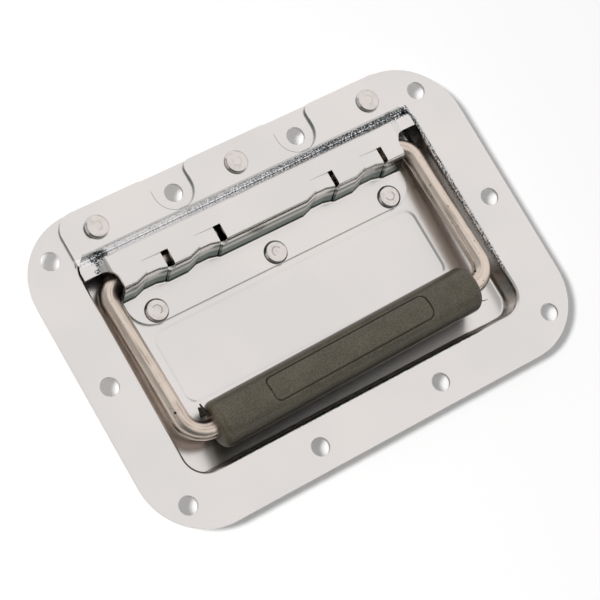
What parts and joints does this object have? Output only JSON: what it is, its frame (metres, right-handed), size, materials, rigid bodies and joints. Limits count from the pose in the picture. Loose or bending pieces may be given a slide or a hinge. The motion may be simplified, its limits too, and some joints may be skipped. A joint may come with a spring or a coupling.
{
  "type": "recessed flight case handle",
  "caption": "Recessed case handle: pressed steel dish, riveted hinge plate and a sprung bail whose moulded grip swings up a quarter turn out of the dish.",
  "frame": {"origin": "centre of the four corner fixing holes, on the mounting face of the flange", "axes": "+X along the long side, +Y towards the hinge side, +Z out of the case"},
  "size_m": [0.172, 0.115, 0.0186],
  "materials": {
    "dish_zinc": "bright zinc plated sheet steel, satin on the flats and shiny in the bends",
    "plate_zinc": "bright zinc plated sheet steel",
    "bar_zinc": "warm yellowish zinc plating on drawn round bar",
    "grip_black": "soft satin black moulding with a fine grain",
    "rivet_zinc": "bright zinc plated, slightly worn on the crown",
    "spring_steel": "oiled spring wire"
  },
  "bodies": {
    "dish": {"dish": "dish_zinc", "hinge_plate": "plate_zinc", "flange_rivet_left": "rivet_zinc", "flange_rivet_middle": "rivet_zinc", "flange_rivet_right": "rivet_zinc", "floor_rivet_left": "rivet_zinc", "floor_rivet_middle": "rivet_zinc", "floor_rivet_right": "rivet_zinc", "spring_left": "spring_steel", "spring_right": "spring_steel"},
    "bail": {"bail": "bar_zinc", "grip": "grip_black"}
  },
  "joints": [
    {"name": "bail_hinge", "type": "hinge", "parent": "dish", "child": "bail", "pos_m": [0, 0.0312, -0.0034], "axis": [-1, 0, 0], "range_deg": [0, 90], "stiffness_Nm_per_rad": 0.16, "springref_deg": -28.65, "deforming": ["spring_left", "spring_right"]}
  ]
}
